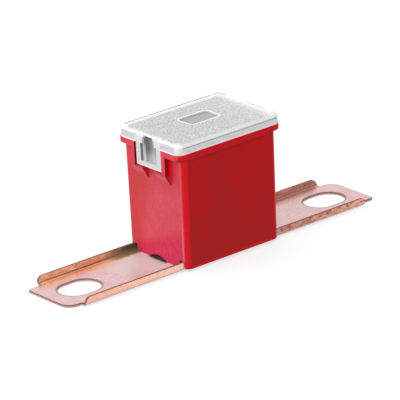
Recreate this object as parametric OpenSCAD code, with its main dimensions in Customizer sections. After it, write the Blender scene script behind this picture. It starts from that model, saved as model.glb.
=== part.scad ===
// Bolt-in automotive cartridge fuse: a folded copper strip carries a fusible
// link inside a moulded housing, and a translucent cover clips on from above.
// X runs along the terminals and Z is up. The origin is in the middle of the
// fuse, on the plane that the terminals stand on. The fuse looks the same
// after half a turn about Z.

/* [Terminals] */
// Length from terminal tip to terminal tip
overall_length = 58; // [44:0.5:80]
// Thickness of the copper sheet
sheet_t = 0.4; // [0.35:0.05:0.6]
// Width over the upturned flanges
strip_width = 11.5; // [9.5:0.1:14]
// Height of the flanges from the underside
flange_height = 1.4; // [1.3:0.05:1.9]
// Inside radius where a flange is turned up
flange_bend_r = 0.5; // [0.3:0.05:0.5]
// Corner radius at the top of a flange end
flange_end_r = 0.9; // [0.4:0.1:1.2]
// Tip to flange end, on the edge with the large tip corner
setback_large = 2.4; // [2.2:0.1:4]
// Tip to flange end, on the edge with the small tip corner
setback_small = 2.5; // [1:0.05:4]
// Step from the flange bend in to the edge of the flat tip
tip_inset = 0.2; // [0:0.05:0.8]
// Large tip corner radius
tip_r_large = 1.9; // [1:0.1:2.2]
// Small tip corner radius
tip_r_small = 0.45; // [0.2:0.05:1]

/* [Bolt slots] */
// Slot width, which clears an M5 bolt
slot_width = 5.2; // [4.3:0.1:6.4]
// Distance that a bolt can move along its slot
slot_play = 1.5; // [0.2:0.1:3]
// Distance from the terminal tip to the slot centre
slot_setback = 5.7; // [4.5:0.1:8]

/* [Fusible link] */
// Width of the legs that stand inside the housing
leg_width = 9.2; // [8:0.1:10]
// Clear height between the link and the cover's top wall
link_headroom = 3.3; // [2.6:0.1:5]
// Drop from the link to the shoulders where the legs narrow
shoulder_drop = 4.8; // [3:0.1:6]
// Width of the link
link_width = 3.4; // [3:0.1:5]
// Width left at each fusing neck
neck_width = 1.3; // [0.9:0.1:2]
// Distance between the two necks
neck_spacing = 6; // [5.5:0.1:7]
// Inside radius of the leg bends
leg_bend_r = 0.8; // [0.5:0.05:0.9]
// Diameter of the solder rivet's shank
rivet_shank_d = 1.4; // [1:0.1:1.6]
// Diameter of the solder rivet's heads
rivet_head_d = 2.6; // [2:0.1:3]
// Thickness of each rivet head
rivet_head_t = 0.45; // [0.3:0.05:0.7]

/* [Housing] */
// Length of the housing between its end faces
body_length = 17.5; // [16:0.1:24]
// Height of the housing from its underside to the top of its rim
housing_height = 17.6; // [14.5:0.1:24]
// Thickness of the end walls
end_wall_t = 1.2; // [1:0.05:1.6]
// Thickness of the side walls at the underside
side_wall_t = 0.65; // [0.5:0.05:1.2]
// Widening of each side wall from the underside to the rim
side_draft = 0.25; // [0:0.05:0.5]
// Vertical corner radius
body_corner_r = 1; // [0.5:0.1:1.4]
// Thickness of the floor
floor_t = 1.2; // [0.8:0.1:2]
// Height of the rim
rim_height = 1; // [0.8:0.1:1.6]
// Overhang of the rim past each end wall
rim_overhang_end = 1; // [0.9:0.1:1.6]
// Overhang of the rim past each side wall
rim_overhang_side = 0.12; // [0:0.02:0.4]
// Corner radius of the rim in plan
rim_corner_r = 1.2; // [0.8:0.1:1.6]
// Rounding along the lower edge of the rim
rim_edge_r = 0.3; // [0.1:0.05:0.4]
// Height over which each side wall flares out under the rim
rim_flare = 0.4; // [0.2:0.05:1]
// Chord of the shallow arch under each end wall
arch_chord = 3.9; // [3:0.1:5]
// Rise of the arch
arch_rise = 0.6; // [0.2:0.05:0.7]
// Diameter of the moulding gate's recess in the underside
gate_d = 2.6; // [2:0.1:4]
// Depth of that recess
gate_depth = 0.3; // [0.2:0.05:0.5]
// Diameter of the gate's stub in the recess
gate_stub_d = 1; // [0.6:0.1:1.4]
// Thickness of the guide ribs behind the legs
guide_t = 0.6; // [0.5:0.1:1]
// How far a guide rib reaches over the edge of a leg
guide_lap = 0.6; // [0.3:0.1:1]

/* [Latch] */
// Width of the latch tab
tab_width = 5.5; // [4.5:0.1:6.6]
// How far the tab hangs below the seam
tab_drop = 3.4; // [3:0.1:4]
// Thickness of the tab
tab_t = 1.2; // [1:0.05:1.4]
// Distance of the tab's face behind the rim's end face
tab_recess = 0.2; // [0.1:0.05:0.3]
// Width of each catch rib
catch_width = 2.6; // [2.4:0.1:3]
// Distance between the two catch ribs
catch_gap = 2.4; // [1.8:0.1:2.8]
// Height of the ramp under each catch rib
catch_ramp = 1.6; // [1:0.1:2.5]
// Material of a catch rib under the tab
catch_foot = 0.25; // [0.2:0.05:1]
// Width of the shallow field in the tab
field_width = 3.6; // [3:0.1:4.2]
// Depth of the shallow field
field_depth = 0.34; // [0.2:0.02:0.4]
// Width of the deep pocket in the tab
pocket_width = 1.9; // [1.2:0.1:2.4]
// Material left behind the deep pocket
pocket_skin = 0.3; // [0.25:0.05:0.5]
// Distance from the cover's top down to the deep pocket
pocket_top = 0.4; // [0.3:0.05:0.8]
// Height of the bar that closes the tab at its foot
tab_bar = 0.7; // [0.5:0.1:1]
// Width of the barb on the back of the tab
barb_width = 3; // [2:0.1:3.4]
// How far the barb stands out
barb_depth = 0.4; // [0.2:0.05:0.4]
// Height of the barb
barb_height = 1.2; // [0.9:0.1:1.5]

/* [Cover] */
// Height of the cover above the seam
cover_height = 1.7; // [1.3:0.1:2.5]
// Thickness of the cover's top
cover_t = 1; // [0.8:0.1:1.2]
// Rounding of the cover's upper edge
cover_edge_r = 0.8; // [0.2:0.05:0.9]
// Step from the rim's edge in to the cover's edge
cover_step = 0.05; // [0:0.05:0.2]
// Depth of the lip inside the housing
lip_depth = 1.2; // [0.8:0.1:1.6]
// Thickness of the lip
lip_t = 0.8; // [0.6:0.1:1.2]
// Length of the smooth window in the top
window_length = 5.3; // [4:0.1:8]
// Width of the smooth window
window_width = 3.2; // [2.4:0.1:5]
// Depth of the smooth window
window_depth = 0.25; // [0.1:0.05:0.4]
// Corner radius of the smooth window
window_r = 0.6; // [0.3:0.1:1]

/* [Fits] */
// Gap between the copper strip and the housing
strip_gap = 0.1; // [0.05:0.05:0.2]
// Gap around the latch tab
tab_gap = 0.2; // [0.1:0.05:0.3]
// Gap behind the tab and around its barb
barb_gap = 0.1; // [0.05:0.05:0.1]
// Gap around the cover's lip
lip_gap = 0.1; // [0.05:0.05:0.2]
// Gap around the rivet's shank
shank_gap = 0.05; // [0.02:0.01:0.1]

/* [Hidden] */

$fn = 48;
past = 1;       // cutters reach this far past what they cut
sliver = 0.01;  // thickness of the slabs that a hull joins
ends = [0, 180];

// strip
flange_outer_r = flange_bend_r + sheet_t;
strip_half = strip_width / 2;
bend_start = strip_half - flange_outer_r;
tip_x = overall_length / 2;
tip_half = bend_start - tip_inset;
slot_length = slot_width + slot_play;

// housing
cavity_half_x = body_length / 2 - end_wall_t;
cavity_half_y = strip_half + strip_gap;
body_half_x = body_length / 2;
body_half_y = cavity_half_y + side_wall_t;
rim_half_x = body_half_x + rim_overhang_end;
rim_half_y = body_half_y + side_draft + rim_overhang_side;
foot_z = sheet_t;  // the housing stands on the top of the strip
seam_z = foot_z + housing_height;
rim_z = seam_z - rim_height;
floor_z = foot_z + floor_t;
notch_z = flange_height + strip_gap;
tongue_half = bend_start - strip_gap;

// latch
tab_face_x = rim_half_x - tab_recess;
tab_back_x = tab_face_x - tab_t;
tab_foot_z = seam_z - tab_drop;
pocket_back_x = tab_back_x - barb_gap;
pocket_floor_z = tab_foot_z - tab_gap;
catch_z = pocket_floor_z - catch_foot;
barb_z = tab_foot_z + barb_gap;

// cover
cover_half_x = rim_half_x - cover_step;
cover_half_y = rim_half_y - cover_step;
cover_top_z = seam_z + cover_height;

// legs and link
leg_outer_x = cavity_half_x - leg_bend_r - 2 * strip_gap;
leg_inner_x = leg_outer_x - sheet_t;
leg_bend_outer_r = leg_bend_r + sheet_t;
flange_start_x = cavity_half_x + strip_gap;
link_top_z = cover_top_z - cover_t - link_headroom;
link_under_z = link_top_z - sheet_t;
shoulder_z = link_top_z - shoulder_drop;

// ---- helpers ----

// rectangle with round corners, centred, made of true arcs
module round_rect(x, y, r) {
    square([x - 2 * r, y], center = true);
    square([x, y - 2 * r], center = true);
    for (i = [-1, 1], j = [-1, 1])
        translate([i * (x / 2 - r), j * (y / 2 - r)]) circle(r);
}

// block from z0 to z1 with round vertical corners
module round_block(half_x, half_y, r, z0, z1) {
    translate([0, 0, z0])
        linear_extrude(z1 - z0) round_rect(2 * half_x, 2 * half_y, r);
}

// plate whose lower edge is rounded by edge_r
module soft_plate(half_x, half_y, r, height, edge_r) {
    hull()
        for (i = [-1, 1], j = [-1, 1])
            translate([i * (half_x - r), j * (half_y - r), 0]) {
                rotate_extrude($fn = 32) {
                    translate([0, edge_r]) square([r, height - edge_r]);
                    square([r - edge_r, height]);
                    intersection() {
                        translate([r - edge_r, edge_r]) circle(edge_r, $fn = 32);
                        square([r, 2 * edge_r]);
                    }
                }
            }
}

// draws children in the XZ plane and gives them a width along Y
module across(width) {
    rotate([90, 0, 0]) linear_extrude(width, center = true) children();
}

// draws children in the YZ plane and runs them from x0 to x1
module along(x0, x1) {
    translate([x0, 0, 0])
        rotate([90, 0, 90]) linear_extrude(x1 - x0) children();
}

// quarter of a ring, from the +x axis to the +y axis
module quarter_ring(r_in, r_out) {
    difference() {
        intersection() {
            circle(r_out);
            square(r_out + past);
        }
        circle(r_in);
    }
}

// ---- housing ----

// outside of the walls, a little wider at the rim than at the underside
module housing_skin() {
    flare_z = rim_z + rim_edge_r;
    hull() {
        round_block(body_half_x, body_half_y, body_corner_r, foot_z, foot_z + sliver);
        round_block(body_half_x, body_half_y + side_draft, body_corner_r, rim_z, rim_z + sliver);
    }
    hull() {
        round_block(
            body_half_x, body_half_y + side_draft - rim_overhang_side / 2,
            body_corner_r, rim_z - rim_flare, rim_z - rim_flare + sliver
        );
        round_block(body_half_x, rim_half_y, body_corner_r, flare_z, flare_z + sliver);
    }
}

// outline in XZ of a catch rib with its ramp
module catch_profile() {
    polygon([
        [body_half_x - end_wall_t / 2, catch_z - catch_ramp * (1 + end_wall_t / 2 / rim_overhang_end)],
        [rim_half_x, catch_z],
        [rim_half_x, rim_z + rim_height / 2],
        [body_half_x - end_wall_t / 2, rim_z + rim_height / 2]
    ]);
}

// pair of catch ribs that flank the tab on the +X end
module catch_ribs() {
    for (side = [-1, 1])
        translate([0, side * (catch_gap + catch_width) / 2, 0])
            across(catch_width) catch_profile();
}

// space for the latch tab and its barb on the +X end
module latch_pocket() {
    translate([pocket_back_x, -tab_width / 2 - tab_gap, pocket_floor_z])
        cube([rim_half_x - pocket_back_x + past, tab_width + 2 * tab_gap, tab_drop + tab_gap + past]);
    translate([pocket_back_x - barb_depth, -barb_width / 2 - barb_gap, pocket_floor_z])
        cube([
            barb_depth + past / 2,
            barb_width + 2 * barb_gap,
            barb_z + barb_height + barb_gap - pocket_floor_z
        ]);
}

// foot of an end wall between the flange notches, arched in the middle
module end_wall_tongue() {
    arch_r = (pow(arch_chord / 2, 2) + pow(arch_rise, 2)) / (2 * arch_rise);
    foot_r = 0.4;
    along(cavity_half_x, body_half_x)
        difference() {
            translate([0, sheet_t + notch_z])
                round_rect(2 * tongue_half, 2 * notch_z, foot_r);
            translate([0, sheet_t + arch_rise - arch_r])
                circle(arch_r, $fn = 96);
        }
}

// slot in the floor for a leg, and the way out under the end wall for its strip
module strip_way() {
    slot_x = leg_inner_x - 2 * strip_gap;
    translate([slot_x, -cavity_half_y, foot_z - past])
        cube([cavity_half_x - slot_x, 2 * cavity_half_y, floor_t + 2 * past]);
    translate([slot_x, -cavity_half_y, foot_z - past])
        cube([body_half_x - slot_x + past, 2 * cavity_half_y, notch_z - foot_z + past]);
}

// round recess in the underside, with the cut stub of the moulding gate in it
module gate_recess() {
    translate([0, 0, foot_z]) difference() {
        translate([0, 0, -past]) cylinder(h = past + gate_depth, d = gate_d);
        translate([0, 0, gate_depth / 3]) cylinder(h = gate_depth, d = gate_stub_d);
    }
}

// ribs on both side walls that keep a leg against its end
module guide_ribs() {
    rib_y = leg_width / 2 - guide_lap;
    for (side = [-1, 1])
        translate([
            leg_inner_x - strip_gap - guide_t,
            side > 0 ? rib_y : -cavity_half_y - side_wall_t / 2,
            floor_z - floor_t / 2
        ])
            cube([guide_t, cavity_half_y + side_wall_t / 2 - rib_y, shoulder_z - floor_z + floor_t / 2]);
}

module housing() {
    color("crimson") {
        difference() {
            union() {
                housing_skin();
                translate([0, 0, rim_z])
                    soft_plate(rim_half_x, rim_half_y, rim_corner_r, rim_height, rim_edge_r);
                for (a = ends) rotate(a) catch_ribs();
            }
            round_block(cavity_half_x, cavity_half_y, body_corner_r / 2, floor_z, seam_z + past);
            gate_recess();
            for (a = ends) rotate(a) {
                latch_pocket();
                strip_way();
            }
        }
        for (a = ends) rotate(a) {
            end_wall_tongue();
            guide_ribs();
        }
    }
}

// ---- cover ----

// latch tab on the +X end, with its field, pocket and barb
module latch_tab() {
    difference() {
        translate([tab_back_x, -tab_width / 2, tab_foot_z])
            cube([tab_t, tab_width, tab_drop + cover_height / 2]);
        translate([tab_face_x - field_depth, -field_width / 2, tab_foot_z + tab_bar])
            cube([field_depth + past, field_width, tab_drop - tab_bar]);
    }
    across(barb_width)
        polygon([
            [tab_back_x + tab_t / 2, barb_z],
            [tab_back_x, barb_z],
            [tab_back_x - barb_depth, barb_z + barb_height / 2],
            [tab_back_x - barb_depth, barb_z + barb_height],
            [tab_back_x + tab_t / 2, barb_z + barb_height]
        ]);
}

// deep pocket in the tab, open to the front and into the cover's rounded edge
module tab_pocket() {
    bottom = tab_foot_z + tab_bar;
    top = cover_top_z - pocket_top;
    translate([tab_back_x + pocket_skin, -pocket_width / 2, bottom])
        cube([tab_t + tab_recess + past, pocket_width, top - bottom]);
}

// lip that reaches into the housing's mouth
module cover_lip() {
    half_x = cavity_half_x - lip_gap;
    half_y = cavity_half_y - lip_gap;
    lip_r = body_corner_r / 2;
    difference() {
        round_block(half_x, half_y, lip_r, seam_z - lip_depth, seam_z + cover_height / 2);
        round_block(half_x - lip_t, half_y - lip_t, lip_r, seam_z - lip_depth - past, seam_z + cover_height);
    }
}

module cover() {
    color("gainsboro") {
        difference() {
            union() {
                difference() {
                    translate([0, 0, cover_top_z])
                        mirror([0, 0, 1])
                            soft_plate(cover_half_x, cover_half_y, rim_corner_r, cover_height, cover_edge_r);
                    round_block(
                        cavity_half_x - lip_gap - lip_t / 2, cavity_half_y - lip_gap - lip_t / 2,
                        body_corner_r / 2, seam_z - past, cover_top_z - cover_t
                    );
                    round_block(
                        window_length / 2, window_width / 2, window_r,
                        cover_top_z - window_depth, cover_top_z + past
                    );
                    for (a = ends) rotate(a)
                        translate([tab_face_x, -tab_width / 2, seam_z - past])
                            cube([cover_half_x, tab_width, cover_height + 2 * past]);
                }
                for (a = ends) rotate(a) latch_tab();
                cover_lip();
            }
            for (a = ends) rotate(a) tab_pocket();
        }
    }
}

// ---- fuse element ----

// section in YZ of the plate with its upturned flanges
module strip_section() {
    translate([-bend_start, 0]) square([2 * bend_start, sheet_t]);
    for (side = [0, 1]) mirror([side, 0]) {
        translate([bend_start, flange_outer_r])
            mirror([0, 1]) quarter_ring(flange_bend_r, flange_outer_r);
        translate([strip_half - sheet_t, flange_outer_r])
            square([sheet_t, flange_height - flange_outer_r]);
    }
}

// side view in XZ that rounds the top of both flange ends, up to end_x
module flange_view(end_x) {
    difference() {
        translate([flange_start_x, -past])
            square([end_x - flange_start_x, flange_height + 2 * past]);
        for (x = [flange_start_x, end_x])
            translate([x, flange_height])
                difference() {
                    square(2 * flange_end_r, center = true);
                    translate([x == end_x ? -flange_end_r : flange_end_r, -flange_end_r])
                        circle(flange_end_r);
                }
    }
}

// plan of the flat tip beyond the flanges
module tip_plan() {
    root_x = tip_x - 2 * max(setback_large, setback_small);
    difference() {
        translate([root_x, -tip_half]) square([tip_x - root_x, 2 * tip_half]);
        translate([tip_x, tip_half]) corner_cut(tip_r_large);
        mirror([0, 1]) translate([tip_x, tip_half]) corner_cut(tip_r_small);
    }
}

// what a round corner of radius r leaves off a square corner at the origin
module corner_cut(r) {
    difference() {
        square(2 * r, center = true);
        translate([-r, -r]) circle(r);
    }
}

// obround slot in plan, centred on the bolt
module slot_plan() {
    translate([tip_x - slot_setback, 0])
        round_rect(slot_length, slot_width, slot_width / 2 - sliver / 10);
}

// one terminal on the +X end, outside the housing
module terminal() {
    difference() {
        union() {
            for (side = [0, 1])
                intersection() {
                    along(flange_start_x, tip_x) strip_section();
                    translate([0, side == 0 ? strip_half / 2 : -strip_half / 2, 0])
                        across(strip_half + sliver)
                            flange_view(tip_x - (side == 0 ? setback_large : setback_small));
                }
            linear_extrude(sheet_t) tip_plan();
        }
        translate([0, 0, -past]) linear_extrude(sheet_t + 2 * past) slot_plan();
    }
}

// path in XZ of the sheet from the terminal up the leg and along the link
module leg_path() {
    translate([leg_outer_x + leg_bend_r, 0])
        square([flange_start_x + sliver - leg_outer_x - leg_bend_r, sheet_t]);
    translate([leg_outer_x + leg_bend_r, leg_bend_outer_r])
        rotate(180) quarter_ring(leg_bend_r, leg_bend_outer_r);
    translate([leg_inner_x, leg_bend_outer_r])
        square([sheet_t, link_under_z - leg_bend_r - leg_bend_outer_r]);
    translate([leg_inner_x - leg_bend_r, link_under_z - leg_bend_r])
        quarter_ring(leg_bend_r, leg_bend_outer_r);
    translate([0, link_under_z]) square([leg_inner_x - leg_bend_r, sheet_t]);
}

// everything that is stamped away beside the link, on the +Y side
module link_relief() {
    relief_r = 1;
    side = leg_width;
    translate([-leg_outer_x - past, link_width / 2, shoulder_z + relief_r])
        cube([2 * (leg_outer_x + past), side, link_top_z]);
    translate([-leg_outer_x - past, link_width / 2 + relief_r, shoulder_z])
        cube([2 * (leg_outer_x + past), side, link_top_z]);
    translate([0, link_width / 2 + relief_r, shoulder_z + relief_r])
        rotate([0, 90, 0]) cylinder(h = 2 * (leg_outer_x + past), r = relief_r, center = true);
}

// round notches that leave the two fusing necks, and the rivet's hole
module link_holes() {
    notch_r = (link_width - neck_width) / 2;
    for (x = [-neck_spacing / 2, neck_spacing / 2], side = [-1, 1])
        translate([x, side * link_width / 2, link_under_z - past])
            cylinder(h = sheet_t + 2 * past, r = notch_r);
    translate([0, 0, link_under_z - past])
        cylinder(h = sheet_t + 2 * past, d = rivet_shank_d + 2 * shank_gap);
}

module fuse_element() {
    color("lightsalmon") {
        for (a = ends) rotate(a) terminal();
        difference() {
            for (a = ends) rotate(a) across(leg_width) leg_path();
            for (side = [0, 1]) mirror([0, side, 0]) link_relief();
            link_holes();
        }
    }
}

// rivet of tin solder through the middle of the link
module solder_rivet() {
    foot = link_under_z - rivet_head_t;
    color("silver") {
        translate([0, 0, foot]) cylinder(h = rivet_head_t, d = rivet_head_d);
        translate([0, 0, foot]) cylinder(h = 2 * rivet_head_t + sheet_t, d = rivet_shank_d);
        translate([0, 0, link_top_z]) cylinder(h = rivet_head_t, d = rivet_head_d);
    }
}

housing();
cover();
fuse_element();
solder_rivet();
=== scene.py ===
import math

import bmesh
import bpy
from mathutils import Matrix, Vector

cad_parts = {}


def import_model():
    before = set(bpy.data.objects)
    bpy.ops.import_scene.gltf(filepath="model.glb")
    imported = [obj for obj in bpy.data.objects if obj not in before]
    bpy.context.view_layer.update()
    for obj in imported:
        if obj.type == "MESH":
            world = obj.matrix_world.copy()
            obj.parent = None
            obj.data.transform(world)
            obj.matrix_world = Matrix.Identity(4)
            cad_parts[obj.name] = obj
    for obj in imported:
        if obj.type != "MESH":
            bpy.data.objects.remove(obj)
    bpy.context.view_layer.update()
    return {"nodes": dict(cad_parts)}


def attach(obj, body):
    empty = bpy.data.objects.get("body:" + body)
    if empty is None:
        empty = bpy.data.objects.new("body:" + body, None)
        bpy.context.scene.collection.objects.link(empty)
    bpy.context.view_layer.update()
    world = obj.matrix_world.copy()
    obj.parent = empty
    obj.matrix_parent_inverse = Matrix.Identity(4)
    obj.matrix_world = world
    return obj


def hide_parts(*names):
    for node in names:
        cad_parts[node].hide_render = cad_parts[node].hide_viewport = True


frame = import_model()
mm = 0.001
print("frame loaded:", ", ".join(sorted(frame["nodes"])))


# helpers for meshes


def onlyThis(piece):
    if bpy.context.object and bpy.context.object.mode != "OBJECT":
        bpy.ops.object.mode_set(mode="OBJECT")
    bpy.ops.object.select_all(action="DESELECT")
    piece.select_set(True)
    bpy.context.view_layer.objects.active = piece


def copyOfNode(nodeName, pieceName, weld=0.001 * mm, flatWithin=0.6):
    piece = bpy.data.objects.new(pieceName, frame["nodes"][nodeName].data.copy())
    piece.data.name = pieceName
    piece.data.materials.clear()
    bpy.context.scene.collection.objects.link(piece)
    onlyThis(piece)
    bpy.ops.object.mode_set(mode="EDIT")
    bpy.ops.mesh.select_all(action="SELECT")
    bpy.ops.mesh.customdata_custom_splitnormals_clear()
    bpy.ops.mesh.remove_doubles(threshold=weld)
    bpy.ops.mesh.dissolve_limited(angle_limit=math.radians(flatWithin))
    bpy.ops.mesh.select_all(action="DESELECT")
    bpy.ops.object.mode_set(mode="OBJECT")
    return piece


def everyEdge(wide, deep, z):
    return True


def roundEdges(piece, width, wanted, segments=2, sharpFrom=38):
    # rounds the sharp outer edges that wanted() picks by their middle, in mm
    onlyThis(piece)
    bpy.ops.object.mode_set(mode="EDIT")
    bpy.ops.mesh.select_mode(type="EDGE")
    bpy.ops.mesh.select_all(action="DESELECT")
    mesh = bmesh.from_edit_mesh(piece.data)
    for edge in mesh.edges:
        if len(edge.link_faces) != 2 or not edge.is_convex:
            continue
        if edge.calc_face_angle(0) < math.radians(sharpFrom):
            continue
        middle = (edge.verts[0].co + edge.verts[1].co) / 2 / mm
        if wanted(abs(middle.x), abs(middle.y), middle.z):
            edge.select_set(True)
    bmesh.update_edit_mesh(piece.data)
    bpy.ops.mesh.bevel(
        offset=width, offset_type="OFFSET", segments=segments, profile=0.5, affect="EDGES", clamp_overlap=True,
    )
    bpy.ops.mesh.select_all(action="DESELECT")
    bpy.ops.object.mode_set(mode="OBJECT")


def giveMaterial(piece, slotNumber, wanted):
    for face in piece.data.polygons:
        middle = face.center / mm
        if wanted(abs(middle.x), abs(middle.y), middle.z, face.normal):
            face.material_index = slotNumber


def finishShading(piece, angle=46, flatness=80):
    onlyThis(piece)
    bpy.ops.object.shade_smooth_by_angle(angle=math.radians(angle))
    flats = piece.modifiers.new("flat faces stay flat", "WEIGHTED_NORMAL")
    flats.mode = "FACE_AREA"
    flats.weight = flatness
    flats.keep_sharp = True
    bpy.ops.object.modifier_apply(modifier=flats.name)


def standFor(piece, nodeName):
    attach(piece, "root")
    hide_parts(nodeName)
    print(nodeName, "made,", len(piece.data.polygons), "faces")


# helpers for materials


def newMaterial(name):
    material = bpy.data.materials.new(name)
    material.use_nodes = True
    tree = material.node_tree
    return material, tree, tree.nodes["Principled BSDF"]


def feed(tree, socket, value):
    if isinstance(value, bpy.types.NodeSocket):
        tree.links.new(value, socket)
    elif isinstance(value, tuple) and len(value) == 3 and socket.type == "RGBA":
        socket.default_value = (*value, 1)
    else:
        socket.default_value = value


def sums(tree, operation, first, second=None, third=None):
    node = tree.nodes.new("ShaderNodeMath")
    node.operation = operation
    for socket, value in zip(node.inputs, (first, second, third)):
        if value is not None:
            feed(tree, socket, value)
    return node.outputs[0]


def placeOnPiece(tree, stretch=(1, 1, 1)):
    where = tree.nodes.new("ShaderNodeTexCoord")
    mapping = tree.nodes.new("ShaderNodeMapping")
    mapping.inputs["Scale"].default_value = stretch
    tree.links.new(where.outputs["Object"], mapping.inputs["Vector"])
    return mapping.outputs["Vector"]


def axesInMm(tree):
    # x, y, z and the distances from the middle planes, all in mm
    split = tree.nodes.new("ShaderNodeSeparateXYZ")
    tree.links.new(placeOnPiece(tree, (1000, 1000, 1000)), split.inputs[0])
    x, y, z = split.outputs
    return x, y, z, sums(tree, "ABSOLUTE", x), sums(tree, "ABSOLUTE", y)


def noise(tree, place, grain, detail=3.0, roughness=0.55):
    node = tree.nodes.new("ShaderNodeTexNoise")
    node.inputs["Scale"].default_value = 1 / grain
    node.inputs["Detail"].default_value = detail
    node.inputs["Roughness"].default_value = roughness
    tree.links.new(place, node.inputs["Vector"])
    return node.outputs["Fac"]


def between(tree, value, low, high, start=0.3, end=0.7, smooth=False):
    node = tree.nodes.new("ShaderNodeMapRange")
    node.interpolation_type = "SMOOTHSTEP" if smooth else "LINEAR"
    for name, number in (("From Min", start), ("From Max", end), ("To Min", low), ("To Max", high)):
        node.inputs[name].default_value = number
    tree.links.new(value, node.inputs["Value"])
    return node.outputs["Result"]


# masks are 1 where they hold and 0 elsewhere, with a soft edge


def past(tree, value, edge, soft=0.05):
    return between(tree, value, 0, 1, edge - soft, edge + soft, smooth=True)


def before(tree, value, edge, soft=0.05):
    return between(tree, value, 1, 0, edge - soft, edge + soft, smooth=True)


def inside(tree, value, low, high, soft=0.05):
    return sums(tree, "MULTIPLY", past(tree, value, low, soft), before(tree, value, high, soft))


def near(tree, value, middle, reach, soft=0.05):
    away = sums(tree, "ABSOLUTE", sums(tree, "SUBTRACT", value, middle))
    return before(tree, away, reach, soft)


def allOf(tree, *masks):
    result = masks[0]
    for mask in masks[1:]:
        result = sums(tree, "MULTIPLY", result, mask)
    return result


def anyOf(tree, *masks):
    result = masks[0]
    for mask in masks[1:]:
        result = sums(tree, "MAXIMUM", result, mask)
    return result


def fromRoundBox(tree, wide, deep, halfX, halfY, radius):
    # distance past the outline of a rectangle with round corners
    overX = sums(tree, "MAXIMUM", sums(tree, "SUBTRACT", wide, halfX - radius), 0.0)
    overY = sums(tree, "MAXIMUM", sums(tree, "SUBTRACT", deep, halfY - radius), 0.0)
    squares = sums(tree, "MULTIPLY_ADD", overX, overX, sums(tree, "MULTIPLY", overY, overY))
    return sums(tree, "SUBTRACT", sums(tree, "SQRT", squares), radius)


def paint(tree, under, over, mask):
    mix = tree.nodes.new("ShaderNodeMix")
    mix.data_type = "RGBA"
    feed(tree, mix.inputs[6], under)
    feed(tree, mix.inputs[7], over)
    feed(tree, mix.inputs[0], mask)
    return mix.outputs[2]


def fade(tree, value, stops):
    # colours along a value from 0 to 1
    node = tree.nodes.new("ShaderNodeValToRGB")
    while len(node.color_ramp.elements) < len(stops):
        node.color_ramp.elements.new(0.5)
    for element, (place, colour) in zip(node.color_ramp.elements, stops):
        element.position = place
        element.color = (*colour, 1)
    tree.links.new(value, node.inputs["Fac"])
    return node.outputs["Color"]


def mixNumbers(tree, under, over, mask):
    mix = tree.nodes.new("ShaderNodeMix")
    feed(tree, mix.inputs[2], under)
    feed(tree, mix.inputs[3], over)
    feed(tree, mix.inputs[0], mask)
    return mix.outputs[0]


def relief(tree, height, depth, strength=1.0, under=None):
    bump = tree.nodes.new("ShaderNodeBump")
    bump.inputs["Distance"].default_value = depth
    bump.inputs["Strength"].default_value = strength
    tree.links.new(height, bump.inputs["Height"])
    if under is not None:
        tree.links.new(under, bump.inputs["Normal"])
    return bump.outputs["Normal"]


camera = dict(
    place=(-313.0363, -382.3426, 197.823),    # mm
    turn=(68.8629, 2.628, -40.27653),         # degrees
    lens=329.814315,
    sensor=36,
    reach=(0.01, 20),
)


def makeCamera():
    data = bpy.data.cameras.new("camera")
    data.sensor_width = camera["sensor"]
    data.lens = camera["lens"]
    data.clip_start, data.clip_end = camera["reach"]
    holder = bpy.data.objects.new("camera", data)
    bpy.context.scene.collection.objects.link(holder)
    holder.location = Vector(camera["place"]) * mm
    holder.rotation_euler = [math.radians(angle) for angle in camera["turn"]]
    bpy.context.scene.camera = holder


makeCamera()

studio = dict(
    floorSize=4.0,
    floorDrop=0.002 * mm,        # keeps the floor clear of the terminals
    floorColour=0.34,
    floorRoughness=0.9,
    floorWhite=0.66,             # what the floor adds for the camera, so that it shows white
    floorFar=0.85,               # the same far out, where the lamps are weak
    floorFarFrom=(150, 900),
    glossBright=1.10,            # how bright gloss sees the floor behind and to the left
    glossBrightFrom=(6, 16),
    glossDark=0.0,               # and how dark it sees the floor in front
    glossDarkTo=(-15, -10.5),
    glossSlant=-0.55,
    skyLight=0.44,
    backdrop=1.0,
    lampsAim=(0, 0, 9),
)

lamps = (
    dict(name="key", place=(-330, 250, 150), size=0.90, power=2.65, colour=(0.96, 0.98, 1.0)),
    dict(name="corner", place=(-330, -300, 140), size=0.50, power=0.78),
    dict(name="side", place=(120, -460, 170), size=0.30, power=0.25),
    dict(name="top", place=(-20, 40, 500), size=1.10, power=3.1),
)


def whiteForLooks(tree):
    path = tree.nodes.new("ShaderNodeLightPath")
    gloss = path.outputs["Is Glossy Ray"]
    seen = anyOf(tree, path.outputs["Is Camera Ray"], gloss, path.outputs["Is Transmission Ray"])
    return seen, gloss


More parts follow.
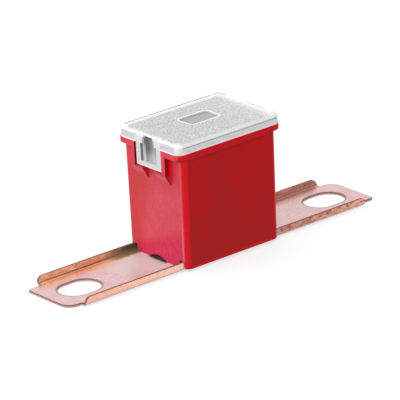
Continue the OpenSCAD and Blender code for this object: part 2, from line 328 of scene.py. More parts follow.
def makeFloor():
    bpy.ops.object.select_all(action="DESELECT")
    bpy.ops.mesh.primitive_plane_add(size=studio["floorSize"], location=(0, 0, -studio["floorDrop"]))
    floor = bpy.context.object
    floor.name = "floor"
    bpy.ops.object.transform_apply(location=True, rotation=True, scale=True)
    material, tree, surface = newMaterial("paleFloor")
    feed(tree, surface.inputs["Base Color"], (studio["floorColour"],) * 3)
    surface.inputs["Roughness"].default_value = studio["floorRoughness"]
    surface.inputs["Specular IOR Level"].default_value = 0.0
    feed(tree, surface.inputs["Emission Color"], (1.0, 1.0, 1.0))
    looks, gloss = whiteForLooks(tree)

    # gloss sees a darker floor in front of the fuse and a brighter one behind it
    x, y, z, wide, deep = axesInMm(tree)
    slant = sums(tree, "MULTIPLY_ADD", x, studio["glossSlant"], y)
    darkFront = between(tree, y, studio["glossDark"], studio["floorWhite"], *studio["glossDarkTo"])
    brightBack = between(tree, slant, 0, studio["glossBright"] - studio["floorWhite"], *studio["glossBrightFrom"])
    forGloss = sums(tree, "ADD", darkFront, brightBack)
    away = sums(tree, "MAXIMUM", wide, deep)
    forCamera = between(tree, away, studio["floorWhite"], studio["floorFar"], *studio["floorFarFrom"])
    level = mixNumbers(tree, forCamera, forGloss, gloss)
    feed(tree, surface.inputs["Emission Strength"], sums(tree, "MULTIPLY", looks, level))

    # from below the floor lets the underside show
    sideOfFloor = tree.nodes.new("ShaderNodeNewGeometry")
    clear = tree.nodes.new("ShaderNodeBsdfTransparent")
    either = tree.nodes.new("ShaderNodeMixShader")
    feed(tree, either.inputs[0], sideOfFloor.outputs["Backfacing"])
    feed(tree, either.inputs[1], surface.outputs[0])
    feed(tree, either.inputs[2], clear.outputs[0])
    feed(tree, tree.nodes["Material Output"].inputs["Surface"], either.outputs[0])
    floor.data.materials.append(material)


def makeWorld():
    world = bpy.data.worlds.new("studio")
    bpy.context.scene.world = world
    world.use_nodes = True
    tree = world.node_tree
    tree.nodes.clear()
    out = tree.nodes.new("ShaderNodeOutputWorld")
    mix = tree.nodes.new("ShaderNodeMixShader")
    feed(tree, mix.inputs[0], whiteForLooks(tree)[0])
    for number, strength in ((1, studio["skyLight"]), (2, studio["backdrop"])):
        shade = tree.nodes.new("ShaderNodeBackground")
        shade.inputs["Strength"].default_value = strength
        feed(tree, shade.inputs["Color"], (1.0, 1.0, 1.0))
        feed(tree, mix.inputs[number], shade.outputs[0])
    feed(tree, out.inputs["Surface"], mix.outputs[0])


def addLamp(name, place, size, power, colour=(1, 1, 1)):
    data = bpy.data.lights.new(name, "AREA")
    data.shape = "SQUARE"
    data.size = size
    data.energy = power
    data.color = colour
    lamp = bpy.data.objects.new(name, data)
    bpy.context.scene.collection.objects.link(lamp)
    lamp.location = Vector(place) * mm
    aim = Vector(studio["lampsAim"]) * mm
    lamp.rotation_euler = (aim - lamp.location).to_track_quat("-Z", "Y").to_euler()


makeFloor()
makeWorld()
for lamp in lamps:
    addLamp(**lamp)
print("camera, floor, world and lamps made")

housing = dict(                          # places in mm
    edge=0.10 * mm,
    insideX=8.2, insideY=6.1, insideZ=0.5,   # edges within these stay sharp
    grain=0.16 * mm, grainDepth=0.004 * mm, roughness=(0.40, 0.50),
    blotches=1.8 * mm, patches=0.5 * mm, flowMarks=7 * mm,
    redLight=(0.540, 0.0026, 0.0048),
    redDeep=(0.450, 0.0080, 0.0095),
    lighterOver=(3, 17),                   # the side walls get lighter over this height
    footRed=(0.680, 0.0040, 0.0060),     # brighter line along the lower edge
    footTop=0.85,
    rimRed=(0.660, 0.0040, 0.0120),
    rimFrom=17.03,
    # painted shade in a band under the rim
    shadeUnderRim=(0.380, 0.0030, 0.0045),
    shadeUnderRimZ=(16.60, 17.0),
    endFace=8.70,
    endSheen=(0.620, 0.0700, 0.0980),    # painted whitish sheen on the end faces
    endDeep=(0.565, 0.0320, 0.0410),
    sheenFrom=-3.0, sheenTop=(9.5, 15.5),
    endHigh=(0.690, 0.0420, 0.0720),     # brighter beside the latch
    endHighZ=(13.2, 15.2),
    crimson=(0.580, 0.0215, 0.0780),     # crimson along the lower part of the end walls
    crimsonPale=(0.650, 0.0480, 0.1050),
    crimsonTop=3.4, crimsonSlope=0.42,
    cornerX=7.75, cornerY=5.50, draft=0.0151, cornerTop=16.7,
    # painted light: a brighter saturated red round the upright corners
    cornerLitRed=(0.690, 0.0045, 0.0140),
    cornerTurn=(0.34, 1.34),             # turns round the corner in radians
    cornerHighlight=(0.800, 0.130, 0.170),        # painted highlight, a paler line along the upright corners
    highlightTurn=(0.02, 0.36), highlightTop=(5.0, 10.0),
    otherCorner=(0.420, 0.0150, 0.0180),
    otherTurn=(0.1, 0.9),
    ribFace=8.80, ribZ=(11.5, 17.05), ribOuter=3.8, ribInner=1.2,
    # painted shade on the rib sides, and painted light on them near the wall
    ribSideShade=(0.300, 0.0006, 0.0110),
    ribLight=(0.800, 0.0020, 0.0040),
    ribLightTo=9.12,
    ribInside=(0.640, 0.0010, 0.0160),
    # painted light on the end wall beside the outer ribs
    lightBesideRibX=(8.6, 8.8), lightBesideRibY=(3.83, 4.30), lightBesideRibZ=(13.2, 16.6),
    # painted sheen on the ramps
    rampSheen=(0.620, 0.1100, 0.1300),
    rampY=(1.25, 3.75), rampTop=14.15, rampFade=(12.8, 14.1),
    notchRed=(0.200, 0.0004, 0.0060),    # in the shade beside the latch tab
    notchX=8.45, notchY=(2.90, 3.0), notchZ=14.0,
)


def redPlastic():
    material, tree, surface = newMaterial("redPlastic")
    x, y, z, wide, deep = axesInMm(tree)
    place = placeOnPiece(tree)
    lean = sums(tree, "MULTIPLY", y, sums(tree, "SIGN", x))
    flow = noise(tree, placeOnPiece(tree, (1, 1, 0.45)), housing["flowMarks"], detail=2)
    blotch = noise(tree, place, housing["blotches"], detail=3)
    patches = noise(tree, place, housing["patches"])
    fine = noise(tree, place, housing["grain"], detail=4, roughness=0.6)
    uneven = between(tree, blotch, -0.7, 0.7)

    # side walls, lighter towards the top and along the lower edge, with painted shade under the rim
    flowAndHeight = sums(tree, "ADD", flow, between(tree, z, -0.10, 0.12, *housing["lighterOver"]))
    colour = paint(tree, housing["redDeep"], housing["redLight"], between(tree, flowAndHeight, 0, 1, 0.36, 0.66))
    colour = paint(tree, colour, housing["redDeep"], between(tree, blotch, 0, 0.5, 0.45, 0.75))
    foot = allOf(tree, before(tree, z, housing["footTop"], 0.25), 0.8)
    colour = paint(tree, colour, housing["footRed"], foot)
    # painted shade in a band under the rim
    shadeUnderRim = allOf(tree, inside(tree, z, *housing["shadeUnderRimZ"], 0.12), 0.3)
    colour = paint(tree, colour, housing["shadeUnderRim"], shadeUnderRim)
    rim = allOf(tree, past(tree, z, housing["rimFrom"], 0.04), 0.8)
    colour = paint(tree, colour, housing["rimRed"], rim)

    # end walls, with a painted whitish sheen, stronger low down and towards one corner
    sideways = sums(tree, "ADD", lean, between(tree, flow, -2.0, 2.0))
    upwards = sums(tree, "ADD", z, uneven)
    hazeAndSheen = allOf(
        tree, past(tree, sideways, housing["sheenFrom"], 1.6),
        between(tree, upwards, 1.0, 0.25, *housing["sheenTop"], smooth=True),
    )
    endColour = paint(tree, housing["endDeep"], housing["endSheen"], hazeAndSheen)
    endColour = paint(tree, endColour, housing["endDeep"], between(tree, blotch, 0, 0.35, 0.45, 0.7))
    endColour = paint(tree, endColour, housing["endDeep"], between(tree, patches, 0, 0.3, 0.46, 0.60))
    high = between(tree, z, 0, 1, *housing["endHighZ"], smooth=True)
    endColour = paint(tree, endColour, housing["endHigh"], high)

    # their crimson foot climbs towards the same corner
    climb = sums(tree, "MULTIPLY_ADD", lean, housing["crimsonSlope"], housing["crimsonTop"])
    above = sums(tree, "SUBTRACT", sums(tree, "MULTIPLY_ADD", uneven, 0.5, z), climb)
    paler = between(tree, patches, 0, 0.5, 0.46, 0.60)
    crimson = paint(tree, housing["crimson"], housing["crimsonPale"], paler)
    endColour = paint(tree, endColour, crimson, before(tree, above, 0.0, 1.0))
    colour = paint(tree, colour, endColour, past(tree, wide, housing["endFace"], 0.04))

    # painted light: a saturated brighter turn round the upright corners, a painted highlight low down on two of
    # them and a darker turn on the other two
    out = sums(tree, "SUBTRACT", wide, housing["cornerX"])
    wallShift = sums(tree, "MULTIPLY_ADD", z, housing["draft"], housing["cornerY"])
    angle = sums(tree, "ARCTAN2", sums(tree, "SUBTRACT", deep, wallShift), out)
    turned = allOf(tree, inside(tree, angle, *housing["cornerTurn"], 0.22), past(tree, out, 0.05, 0.05))
    colour = paint(tree, colour, housing["cornerLitRed"], turned)
    onCorner = allOf(tree, past(tree, out, 0.5, 0.2), before(tree, z, housing["cornerTop"], 0.3))
    highlightPair = before(tree, sums(tree, "MULTIPLY", lean, -1.0), 0, 0.5)
    lowDown = between(tree, upwards, 1.0, 0.45, *housing["highlightTop"], smooth=True)
    line = allOf(tree, inside(tree, angle, *housing["highlightTurn"], 0.14), onCorner, lowDown, highlightPair, 0.85)
    colour = paint(tree, colour, housing["cornerHighlight"], line)
    otherPair = before(tree, lean, 0, 0.5)
    dull = allOf(tree, inside(tree, angle, *housing["otherTurn"], 0.15), onCorner, otherPair, 0.8)
    colour = paint(tree, colour, housing["otherCorner"], dull)

    # catch ribs: painted shade on their sides, painted light near the wall and on the wall beside them, painted
    # sheen on the ramps
    onRib = allOf(tree, past(tree, wide, housing["ribFace"], 0.02), inside(tree, z, *housing["ribZ"], 0.1))
    outer = allOf(tree, near(tree, deep, housing["ribOuter"], 0.05, 0.02), onRib)
    inner = allOf(tree, near(tree, deep, housing["ribInner"], 0.05, 0.02), onRib)
    ribShadeAndLight = paint(tree, housing["ribLight"], housing["ribSideShade"], past(tree, wide, housing["ribLightTo"], 0.14))
    colour = paint(tree, colour, ribShadeAndLight, outer)
    colour = paint(tree, colour, housing["ribInside"], inner)
    lightBesideRib = allOf(
        tree, inside(tree, deep, *housing["lightBesideRibY"], 0.12), inside(tree, z, *housing["lightBesideRibZ"], 0.5),
        inside(tree, wide, *housing["lightBesideRibX"], 0.02), 0.8,
    )
    colour = paint(tree, colour, housing["ribLight"], lightBesideRib)
    ramp = allOf(
        tree, before(tree, z, housing["rampTop"], 0.05), past(tree, wide, housing["ribFace"], 0.04),
        inside(tree, deep, *housing["rampY"], 0.15), between(tree, z, 0, 0.9, *housing["rampFade"], smooth=True),
    )
    colour = paint(tree, colour, housing["rampSheen"], ramp)
    notch = allOf(
        tree, inside(tree, deep, *housing["notchY"], 0.02), past(tree, wide, housing["notchX"], 0.05),
        past(tree, z, housing["notchZ"], 0.1),
    )
    colour = paint(tree, colour, housing["notchRed"], notch)

    feed(tree, surface.inputs["Base Color"], colour)
    feed(tree, surface.inputs["Roughness"], between(tree, fine, *housing["roughness"]))
    feed(tree, surface.inputs["Normal"], relief(tree, fine, housing["grainDepth"], 0.6))
    surface.inputs["IOR"].default_value = 1.5
    surface.inputs["Specular IOR Level"].default_value = 0.18
    return material


def makeHousing():
    piece = copyOfNode("housing", "fuseHousing")

    def onOutside(wide, deep, z):
        return wide > housing["insideX"] or deep > housing["insideY"] or z < housing["insideZ"]

    roundEdges(piece, housing["edge"], onOutside)
    piece.data.materials.append(redPlastic())
    finishShading(piece)
    standFor(piece, "housing")


makeHousing()

cover = dict(                            # places in mm
    edge=0.07 * mm, edgesAbove=18.1, edgesBeyond=9.0,
    halfX=9.70, halfY=6.82, turn=1.2, topZ=19.70,
    frosted=(0.27, 0.27, 0.27),
    sparkle=(0.66, 0.66, 0.66),
    frostMean=(0.46, 0.46, 0.46),
    frostX=-0.65, frostY=-0.72,          # the frosting is a little off the middle
    frostHalfX=8.80, frostHalfY=5.88, frostTurn=0.7, frostDepth=0.30,
    frostEnd=8.0,
    speckle=0.25 * mm, speckleDepth=0.016 * mm, clouds=2.6 * mm,
    # painted highlight: near white on the turned-over edges, the corners and the tab's edges
    edgeHighlight=(0.94, 0.945, 0.95),
    haze=(0.76, 0.76, 0.765),            # clear rim beyond the frosting
    hazeX=7.4, hazeY=4.7, hazeRim=1.25,
    outline=(0.19, 0.19, 0.20),          # painted dark line for the refraction where the clear edge turns over
    outlineRim=(0.42, 0.92), outlineZ=19.3, outlineX=8.4, outlineY=5.5, outlineStart=-8.9, wholeTo=7.5,
    onTop=19.2,
    window=(0.33, 0.33, 0.33),
    # painted light on the walls of the window
    windowWallLight=(0.62, 0.62, 0.62),
    windowHalfX=2.65, windowHalfY=1.60, windowTurn=0.60, windowRim=0.25, paneRim=0.10, paneTop=19.48,
    skirt=(0.86, 0.855, 0.865),
    endSkirt=(0.62, 0.60, 0.63),
    skirtShade=(0.50, 0.50, 0.50),
    skirtEndX=9.60, skirtFoot=18.24, skirtTop=18.98, endSkirtTop=19.22,
    innerLine=(0.44, 0.43, 0.46),        # darker line along the top of the upright sides
    innerLineX=8.9, innerLineY=6.5,
    cornerX=8.9, cornerY=6.0,
    tabFace=(0.73, 0.73, 0.735),
    tabStart=7.8, tabHalf=2.80, tabTop=19.05, tabRimY=2.62, tabRimZ=14.74,
    # painted shade in the tab's groove
    grooveShade=(0.29, 0.29, 0.29),
    grooveX=9.52, grooveY=(1.62, 1.84), grooveZ=(15.2, 18.0),
    # painted shade in the tab's pocket, darker at the top
    pocketShade=(0.33, 0.33, 0.335),
    pocketLight=(0.66, 0.665, 0.66),
    pocketX=9.16, pocketHalf=1.0, fieldY=(0.9, 1.32), fieldZ=(15.4, 19.0), pocketShadeFrom=16.3,
    polishedRoughness=0.14, frostRoughness=(0.42, 0.58),
    clearness=0.16, cloudedClearness=0.04, cloudedZ=(17.9, 19.1),
)


def coverPlastic():
    material, tree, surface = newMaterial("coverPlastic")
    x, y, z, wide, deep = axesInMm(tree)
    place = placeOnPiece(tree)
    speckle = noise(tree, place, cover["speckle"], detail=4, roughness=0.8)
    cloud = noise(tree, place, cover["clouds"], detail=2)
    wander = between(tree, noise(tree, place, 0.8 * mm, detail=3), -0.14, 0.14)
    rim = fromRoundBox(tree, wide, deep, cover["halfX"], cover["halfY"], cover["turn"])
    rim = sums(tree, "MULTIPLY", rim, -1.0)

    # clear rim of the top, with a painted highlight along the edges
    beyond = anyOf(tree, past(tree, y, cover["hazeY"], 0.7), past(tree, x, cover["hazeX"], 0.9))
    hazeAndSheen = allOf(tree, beyond, past(tree, z, cover["onTop"], 0.1), past(tree, rim, cover["hazeRim"], 0.25))
    colour = paint(tree, cover["edgeHighlight"], cover["haze"], hazeAndSheen)

    # frosted field of the top, which fades out at its edges and more so at the +X end
    frostWide = sums(tree, "ABSOLUTE", sums(tree, "SUBTRACT", x, cover["frostX"]))
    frostDeep = sums(tree, "ABSOLUTE", sums(tree, "SUBTRACT", y, cover["frostY"]))
    field = fromRoundBox(tree, frostWide, frostDeep, cover["frostHalfX"], cover["frostHalfY"], cover["frostTurn"])
    frost = allOf(
        tree, past(tree, z, cover["topZ"] - cover["frostDepth"], 0.10),
        before(tree, sums(tree, "MULTIPLY_ADD", wander, 0.5, field), 0.0, 0.34),
        before(tree, sums(tree, "ADD", x, wander), cover["frostEnd"], 1.3),
        between(tree, x, 1.0, 0.90, 0, cover["frostEnd"]),
    )
    grit = paint(tree, cover["frosted"], cover["sparkle"], between(tree, speckle, 0, 1, 0.41, 0.59))
    grit = paint(tree, grit, cover["frostMean"], between(tree, cloud, 0, 0.3))
    colour = paint(tree, colour, grit, frost)

    # painted dark refraction line where the edges turn over, on the far edges, broken up towards the +X end
    farEdges = anyOf(
        tree, past(tree, y, cover["outlineY"], 0.3), allOf(tree, past(tree, x, cover["outlineX"], 0.3), 0.6),
    )
    broken = anyOf(tree, between(tree, cloud, 0.1, 1.0, 0.44, 0.56), before(tree, x, cover["wholeTo"], 0.5))
    ring = allOf(
        tree, inside(tree, rim, *cover["outlineRim"], 0.08), past(tree, z, cover["outlineZ"], 0.1),
        farEdges, broken, past(tree, x, cover["outlineStart"], 0.3),
    )
    colour = paint(tree, colour, cover["outline"], ring)

    # smooth window, with a painted highlight round it and painted light on its walls
    window = fromRoundBox(tree, wide, deep, cover["windowHalfX"], cover["windowHalfY"], cover["windowTurn"])
    high = past(tree, z, cover["onTop"], 0.05)
    windowRim = allOf(tree, before(tree, window, cover["windowRim"], 0.06), high)
    colour = paint(tree, colour, cover["edgeHighlight"], windowRim)
    pane = allOf(tree, before(tree, window, cover["paneRim"], 0.04), high)
    glass = paint(tree, cover["window"], cover["windowWallLight"], past(tree, z, cover["paneTop"], 0.02))
    colour = paint(tree, colour, glass, pane)

    # upright sides: grey band, with a darker line along its top
    ends = past(tree, wide, cover["skirtEndX"], 0.03)
    skirt = paint(tree, cover["skirt"], cover["endSkirt"], ends)
    skirt = paint(tree, skirt, cover["skirtShade"], between(tree, speckle, 0, 0.4, 0.46, 0.62))
    skirtTop = mixNumbers(tree, cover["skirtTop"], cover["endSkirtTop"], ends)
    belowTop = between(tree, sums(tree, "SUBTRACT", skirtTop, z), 0, 1, -0.07, 0.07, smooth=True)
    onSkirt = allOf(tree, past(tree, z, cover["skirtFoot"], 0.05), belowTop)
    colour = paint(tree, colour, skirt, onSkirt)
    line = allOf(
        tree, near(tree, z, cover["skirtTop"], 0.08), before(tree, wide, cover["innerLineX"], 0.4),
        past(tree, deep, cover["innerLineY"], 0.1),
    )
    colour = paint(tree, colour, cover["innerLine"], line)
    # painted highlight on the upright corners
    corner = allOf(tree, past(tree, wide, cover["cornerX"], 0.4), past(tree, deep, cover["cornerY"], 0.4), 0.85)
    colour = paint(tree, colour, cover["edgeHighlight"], corner)

    # latch tab: grey face with painted highlights on its edges, painted shade in a narrow groove and in the pocket
    onTab = allOf(
        tree, past(tree, wide, cover["tabStart"], 0.05), before(tree, deep, cover["tabHalf"], 0.03),
        before(tree, z, cover["tabTop"], 0.05),
    )
    colour = paint(tree, colour, cover["tabFace"], onTab)
    tabRim = anyOf(tree, past(tree, deep, cover["tabRimY"], 0.04), before(tree, z, cover["tabRimZ"], 0.04))
    colour = paint(tree, colour, cover["edgeHighlight"], allOf(tree, onTab, tabRim))
    grooveShade = allOf(
        tree, onTab, inside(tree, deep, *cover["grooveY"], 0.04), before(tree, wide, cover["grooveX"], 0.02),
        inside(tree, z, *cover["grooveZ"], 0.1),
    )
    colour = paint(tree, colour, cover["grooveShade"], grooveShade)
    pocket = allOf(tree, before(tree, wide, cover["pocketX"], 0.05), before(tree, deep, cover["pocketHalf"], 0.03))
    besidePocket = allOf(tree, inside(tree, deep, *cover["fieldY"], 0.06), inside(tree, z, *cover["fieldZ"], 0.15))
    shadeFromTop = past(tree, sums(tree, "ADD", z, wander), cover["pocketShadeFrom"], 1.1)
    pocketShading = paint(tree, cover["pocketLight"], cover["pocketShade"], shadeFromTop)
    colour = paint(tree, colour, pocketShading, allOf(tree, onTab, anyOf(tree, pocket, besidePocket)))

    feed(tree, surface.inputs["Base Color"], colour)
    rough = between(tree, speckle, *cover["frostRoughness"])
    feed(tree, surface.inputs["Roughness"], mixNumbers(tree, cover["polishedRoughness"], rough, frost))
    clouded = anyOf(tree, frost, inside(tree, z, *cover["cloudedZ"], 0.1))
    clear = mixNumbers(tree, cover["clearness"], cover["cloudedClearness"], clouded)
    feed(tree, surface.inputs["Transmission Weight"], clear)
    height = sums(tree, "MULTIPLY", speckle, frost)
    feed(tree, surface.inputs["Normal"], relief(tree, height, cover["speckleDepth"], 0.6))
    surface.inputs["IOR"].default_value = 1.55
    return material


def makeCover():
    piece = copyOfNode("cover", "fuseCover")

    def visibleEdge(wide, deep, z):
        return z > cover["edgesAbove"] or wide > cover["edgesBeyond"]

    roundEdges(piece, cover["edge"], visibleEdge, sharpFrom=50)
    piece.data.materials.append(coverPlastic())
    finishShading(piece)
    standFor(piece, "cover")


makeCover()

strip = dict(                            # places in mm, Left is the -X end and Right the +X end
    edge=0.045 * mm,
    sheet=0.4, middle=0.2, upperSide=0.37, bendStart=5.0, bendBottom=0.36, housingEnd=7.8,
    streaks=0.12 * mm, streakDepth=0.002 * mm, roughness=(0.22, 0.30),
    mottling=0.55 * mm, mottlingDepth=0.012 * mm, clouds=2.6 * mm,
    metallic=0.70, tarnishMetallic=0.15, tarnishRoughness=0.5,
    pinkLight=(0.72, 0.465, 0.460),
    pinkDeep=(0.64, 0.395, 0.385),
    pinkCool=(0.69, 0.465, 0.475),
    dulled=(0.64, 0.60, 0.57),           # next to the housing, mostly at the -X end
    dulledTo=14.5, dulledY=5.45, dulledRight=0.35,
    flangeReflection=(                         # painted reflection on the outside of the flanges, from -X to +X
        (0.02, (0.96, 0.47, 0.33)),
        (0.32, (1.00, 0.62, 0.50)),
        (0.68, (0.64, 0.28, 0.22)),
        (0.95, (0.84, 0.42, 0.31)),
    ),
    flangeSpot=(0.30, 0.10, 0.06), spotsFrom=(-10, 10),
    # painted shade along the foot of the flanges
    flangeFootShade=(0.12, 0.045, 0.028),
    flangeOutside=5.62, bendOutside=5.15, bendTop=0.32, footTop=0.24,
    reflectedFoldGold=(0.97, 0.48, 0.22),         # painted reflection of the flanges beside the folds
    reflectedFoldRose=(0.52, 0.20, 0.13),
    reflectionLeft=3.75, reflectionRight=4.35, reflectionTo=5.2, reflectionEnd=26.3,
    insideBrown=(0.74, 0.40, 0.26),      # inside of the flanges
    insideRose=(0.42, 0.165, 0.14),
    insidePale=(0.95, 0.58, 0.45),
    insideShade=(0.26, 0.11, 0.050),
    insideY=(5.05, 5.45), insideFrom=0.5, shadeTop=1.00,
    foldDark=(0.12, 0.045, 0.020),
    foldY=(5.06, 5.28), foldZ=(0.42, 0.95),
    edgeLine=(0.20, 0.12, 0.120),        # fine dark line along the stamped edges
    slotX=23.3, slotHalfX=3.35, slotHalfY=2.6, slotTurn=2.599, slotLine=0.24,
    tipX=29.0, tipY=4.65, tipLarge=1.9, tipSmall=0.45, tipLine=-0.10, tipStart=26.4,
    underArch=(0.012, 0.018, 0.014),
    archX=9.1, archY=2.1, archZ=0.6, wallX=8.3,
    olive=(0.22, 0.15, 0.075),           # tarnish in the bends next to the housing
    mossy=(0.050, 0.085, 0.036),
    tarnishLeft=13.4, tarnishRight=10.6, tarnishY=(3.95, 5.5), mossyFrom=-2.4,
    shearLight=(0.32, 0.16, 0.13),
    shearDeep=(0.13, 0.056, 0.045),
    shearPale=(0.74, 0.50, 0.43),        # lower part of the rims, where they broke off
    shearGreen=(0.26, 0.27, 0.20),
    tearing=0.22 * mm, tearDepth=0.02 * mm, brokenTo=0.23, slotEnd=27.4, greenTo=9.6, greenFrom=0.6,
    rimY=(5.2, 5.8), rimFrom=0.6,
)


def copperSheet():
    material, tree, surface = newMaterial("copperSheet")
    x, y, z, wide, deep = axesInMm(tree)
    place = placeOnPiece(tree)
    fromLeft = between(tree, x, 0, 1, -strip["tipX"], strip["tipX"])
    rightEnd = past(tree, x, 0, 1)
    lean = sums(tree, "MULTIPLY", y, sums(tree, "SIGN", x))
    rolled = noise(tree, placeOnPiece(tree, (0.05, 1, 1)), strip["streaks"], detail=3, roughness=0.6)
    cloud = noise(tree, place, strip["clouds"], detail=3)
    mottle = noise(tree, placeOnPiece(tree, (0.6, 1, 1)), strip["mottling"], detail=3, roughness=0.6)
    wander = between(tree, mottle, -0.35, 0.35)
    uneven = sums(tree, "ADD", deep, wander)
    colour = paint(tree, strip["pinkDeep"], strip["pinkLight"], between(tree, cloud, 0, 1, 0.34, 0.62))
    colour = paint(tree, colour, strip["pinkCool"], between(tree, rolled, 0, 0.6))
    onPlate = allOf(tree, past(tree, z, strip["upperSide"], 0.02), before(tree, deep, strip["bendStart"], 0.1))
    topSide = allOf(tree, past(tree, z, strip["middle"], 0.05), past(tree, wide, strip["wallX"], 0.15))

    # duller next to the housing
    ragged = sums(tree, "ADD", wide, between(tree, mottle, -0.8, 0.8))
    nearWall = allOf(
        tree, before(tree, ragged, strip["dulledTo"], 4.5), mixNumbers(tree, 1.0, strip["dulledRight"], rightEnd),
        before(tree, deep, strip["dulledY"], 0.1), topSide,
    )
    colour = paint(tree, colour, strip["dulled"], allOf(tree, nearWall, 0.8))

    # outside of the flanges: salmon copper with a painted reflection that changes from -X to +X, spotted towards
    # +X, painted shade along the foot
    underBend = allOf(tree, past(tree, deep, strip["bendOutside"], 0.05), before(tree, z, strip["bendTop"], 0.04))
    outsideFlange = anyOf(tree, past(tree, deep, strip["flangeOutside"], 0.04), underBend)
    footShade = before(tree, z, strip["footTop"], 0.06)
    moreToRight = between(tree, x, 0.12, 1.0, *strip["spotsFrom"])
    spots = allOf(tree, between(tree, mottle, 0, 0.9, 0.45, 0.62), moreToRight)
    salmon = paint(tree, fade(tree, fromLeft, strip["flangeReflection"]), strip["flangeSpot"], spots)
    salmon = paint(tree, salmon, strip["flangeFootShade"], allOf(tree, footShade, 0.9))
    colour = paint(tree, colour, salmon, outsideFlange)

    # painted reflection of the flanges beside the folds
    reflectionStart = mixNumbers(tree, strip["reflectionLeft"], strip["reflectionRight"], rightEnd)
    foldReflection = allOf(
        tree, between(tree, sums(tree, "SUBTRACT", uneven, reflectionStart), 0, 1, -0.35, 0.35, smooth=True),
        before(tree, deep, strip["reflectionTo"], 0.1), past(tree, z, strip["bendBottom"], 0.02),
        before(tree, wide, strip["reflectionEnd"], 0.25), mixNumbers(tree, 0.25, 0.85, past(tree, y, 0, 0.5)),
    )
    reflectedGold = paint(tree, strip["reflectedFoldGold"], strip["reflectedFoldRose"], rightEnd)
    colour = paint(tree, colour, reflectedGold, foldReflection)

    # inside of the flanges, dark line in the fold
    aboveBend = past(tree, z, strip["insideFrom"], 0.03)
    insideFlange = allOf(tree, inside(tree, deep, *strip["insideY"], 0.05), aboveBend)
    brown = paint(tree, strip["insideBrown"], strip["insideRose"], rightEnd)
    brown = paint(tree, brown, strip["insidePale"], between(tree, mottle, 0, 0.5))
    lowDown = allOf(tree, before(tree, sums(tree, "ADD", z, wander), strip["shadeTop"], 0.20), 0.4)
    brown = paint(tree, brown, strip["insideShade"], lowDown)
    colour = paint(tree, colour, brown, insideFlange)
    fold = allOf(tree, inside(tree, deep, *strip["foldY"], 0.05), inside(tree, z, *strip["foldZ"], 0.05))
    colour = paint(tree, colour, strip["foldDark"], allOf(tree, fold, between(tree, mottle, 0.6, 0.95)))

    # fine dark line along the edges of the slots and the tips
    fromSlot = sums(tree, "ABSOLUTE", sums(tree, "SUBTRACT", wide, strip["slotX"]))
    slotRim = fromRoundBox(tree, fromSlot, deep, strip["slotHalfX"], strip["slotHalfY"], strip["slotTurn"])
    largeTip = fromRoundBox(tree, wide, deep, strip["tipX"], strip["tipY"], strip["tipLarge"])
    smallTip = fromRoundBox(tree, wide, deep, strip["tipX"], strip["tipY"], strip["tipSmall"])
    tipRim = mixNumbers(tree, smallTip, largeTip, past(tree, lean, 0, 0.05))
    alongTip = allOf(tree, past(tree, tipRim, strip["tipLine"], 0.03), past(tree, wide, strip["tipStart"], 0.1))
    lines = anyOf(tree, before(tree, slotRim, strip["slotLine"], 0.06), alongTip)
    colour = paint(tree, colour, strip["edgeLine"], allOf(tree, lines, onPlate, 0.75))

    # tarnish and shade next to the housing
    inArch = allOf(
        tree, before(tree, wide, strip["archX"], 0.35), before(tree, deep, strip["archY"], 0.3),
        before(tree, z, strip["archZ"], 0.05), topSide, 0.95,
    )
    colour = paint(tree, colour, strip["underArch"], inArch)
    fromWall = mixNumbers(
        tree, sums(tree, "SUBTRACT", wide, strip["tarnishLeft"]),
        sums(tree, "SUBTRACT", wide, strip["tarnishRight"]), rightEnd,
    )
    tarnishStart, tarnishEnd = strip["tarnishY"]
    inBend = allOf(
        tree, past(tree, uneven, tarnishStart, 0.5), before(tree, deep, tarnishEnd, 0.04),
        past(tree, z, strip["bendBottom"], 0.03), topSide,
    )
    colour = paint(tree, colour, strip["olive"], allOf(tree, inBend, before(tree, fromWall, 0, 1.7), 0.95))
    closer = before(tree, sums(tree, "ADD", fromWall, wander), strip["mossyFrom"], 0.8)
    greener = allOf(tree, inBend, closer, between(tree, z, 0.3, 1.0, 0.5, 0.9), 0.9)
    colour = paint(tree, colour, strip["mossy"], greener)

    feed(tree, surface.inputs["Base Color"], colour)
    dark = anyOf(tree, nearWall, fold, allOf(tree, outsideFlange, footShade))
    metal = mixNumbers(tree, strip["metallic"], strip["tarnishMetallic"], dark)
    feed(tree, surface.inputs["Metallic"], metal)
    rough = mixNumbers(tree, between(tree, rolled, *strip["roughness"]), strip["tarnishRoughness"], nearWall)
    feed(tree, surface.inputs["Roughness"], rough)
    grain = relief(tree, rolled, strip["streakDepth"], 0.15)
    feed(tree, surface.inputs["Normal"], relief(tree, mottle, strip["mottlingDepth"], 0.3, grain))
    return material


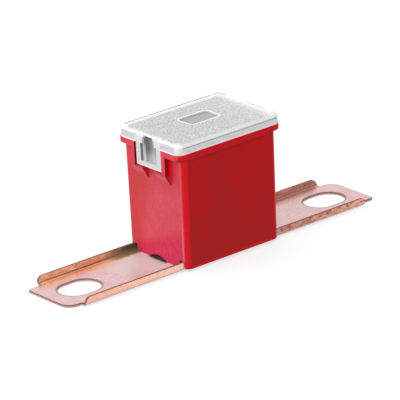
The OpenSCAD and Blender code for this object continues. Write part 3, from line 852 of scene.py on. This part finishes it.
def shearedCopper():
    material, tree, surface = newMaterial("shearedCopper")
    z, wide = axesInMm(tree)[2:4]
    torn = noise(tree, placeOnPiece(tree, (1, 1, 0.25)), strip["tearing"], detail=3)
    colour = paint(tree, strip["shearDeep"], strip["shearLight"], between(tree, torn, 0, 1, 0.42, 0.66))
    broken = before(tree, sums(tree, "ADD", z, between(tree, torn, -0.06, 0.06)), strip["brokenTo"], 0.05)
    inSlot = before(tree, wide, strip["slotEnd"], 0.3)
    colour = paint(tree, colour, strip["shearPale"], allOf(tree, broken, mixNumbers(tree, 0.65, 0.9, inSlot)))
    atWall = allOf(tree, before(tree, wide, strip["greenTo"], 0.2), past(tree, z, strip["greenFrom"], 0.05), 0.6)
    colour = paint(tree, colour, strip["shearGreen"], atWall)
    feed(tree, surface.inputs["Base Color"], colour)
    surface.inputs["Metallic"].default_value = 0.35
    surface.inputs["Specular IOR Level"].default_value = 0.15
    feed(tree, surface.inputs["Roughness"], between(tree, torn, 0.70, 0.55))
    feed(tree, surface.inputs["Normal"], relief(tree, torn, strip["tearDepth"], 0.6))
    return material


def isSheared(wide, deep, z, normal):
    # rims of the flanges, of the flat plates with their slots, and of the legs and the link
    rimStart, rimEnd = strip["rimY"]
    outside = wide > strip["housingEnd"]
    facesAcross, facesUp = abs(normal.y) > 0.1, abs(normal.z) > 0.1
    flangeRim = outside and rimStart < deep < rimEnd and z > strip["rimFrom"] and not facesAcross
    plateRim = outside and deep < rimStart and z < strip["sheet"] + 0.05 and not facesUp
    legRim = not outside and facesAcross
    return flangeRim or plateRim or legRim


def makeFuseElement():
    piece = copyOfNode("fuse_element", "fuseElement")
    piece.data.materials.append(copperSheet())
    piece.data.materials.append(shearedCopper())
    giveMaterial(piece, 1, isSheared)
    roundEdges(piece, strip["edge"], everyEdge, sharpFrom=50)
    finishShading(piece)
    standFor(piece, "fuse_element")


makeFuseElement()

rivet = dict(
    edge=0.14 * mm,
    tinLight=(0.66, 0.66, 0.67),
    tinDeep=(0.46, 0.46, 0.48),
    grain=0.35 * mm, grainDepth=0.02 * mm, roughness=(0.34, 0.5),
)


def tinSolder():
    material, tree, surface = newMaterial("tinSolder")
    cast = noise(tree, placeOnPiece(tree), rivet["grain"], detail=4)
    colour = paint(tree, rivet["tinDeep"], rivet["tinLight"], between(tree, cast, 0, 1))
    feed(tree, surface.inputs["Base Color"], colour)
    surface.inputs["Metallic"].default_value = 1
    feed(tree, surface.inputs["Roughness"], between(tree, cast, *rivet["roughness"]))
    feed(tree, surface.inputs["Normal"], relief(tree, cast, rivet["grainDepth"], 0.6))
    return material


def makeRivet():
    piece = copyOfNode("solder_rivet", "solderRivet")
    roundEdges(piece, rivet["edge"], everyEdge, segments=3)
    piece.data.materials.append(tinSolder())
    finishShading(piece)
    standFor(piece, "solder_rivet")


makeRivet()

bpy.context.scene.view_settings.view_transform = "Standard"
